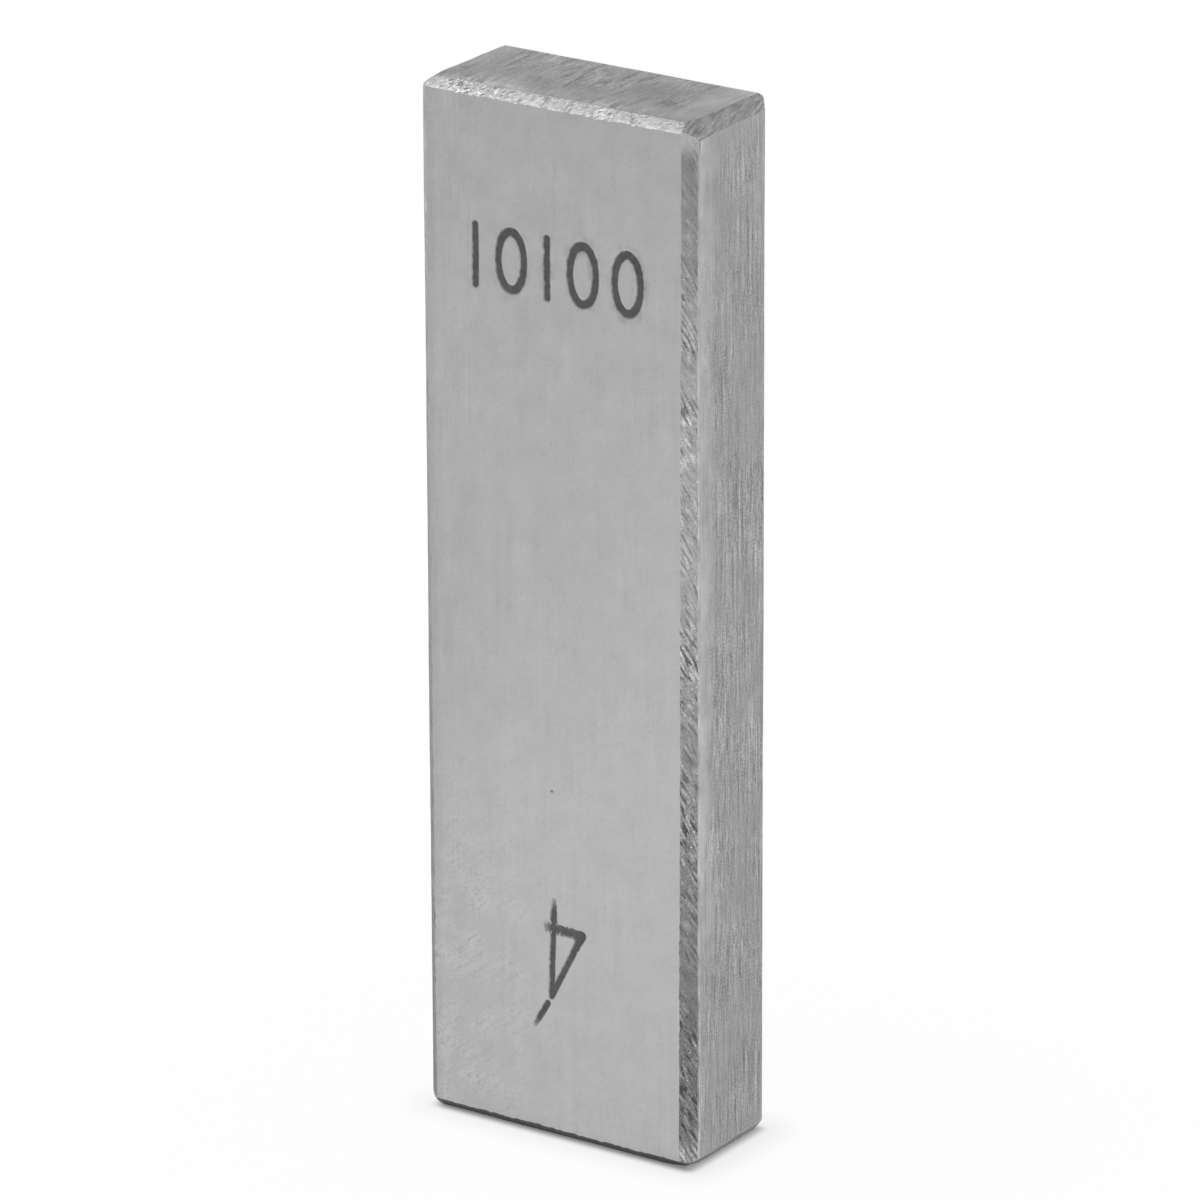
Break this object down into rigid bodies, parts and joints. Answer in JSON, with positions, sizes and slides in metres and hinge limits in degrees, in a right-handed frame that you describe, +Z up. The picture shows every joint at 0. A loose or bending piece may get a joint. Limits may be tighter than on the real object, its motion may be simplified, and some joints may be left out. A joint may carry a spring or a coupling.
{
  "type": "gauge block",
  "caption": "Slim rectangular steel block with two flat parallel measuring faces, stoned chamfers on every edge and plain numerals sunk into one face.",
  "frame": {"origin": "centre of the foot, the end of the block that it stands on", "axes": "+Z up along the long side of the measuring faces, Y across the nominal length with the marked measuring face towards -Y, X across the width"},
  "size_m": [0.0088, 0.004, 0.03],
  "materials": {
    "steel": "lapped measuring faces, ground sides and ends, hand-stoned chamfers"
  },
  "bodies": {
    "root": {"gauge_block": "steel"}
  },
  "joints": []
}
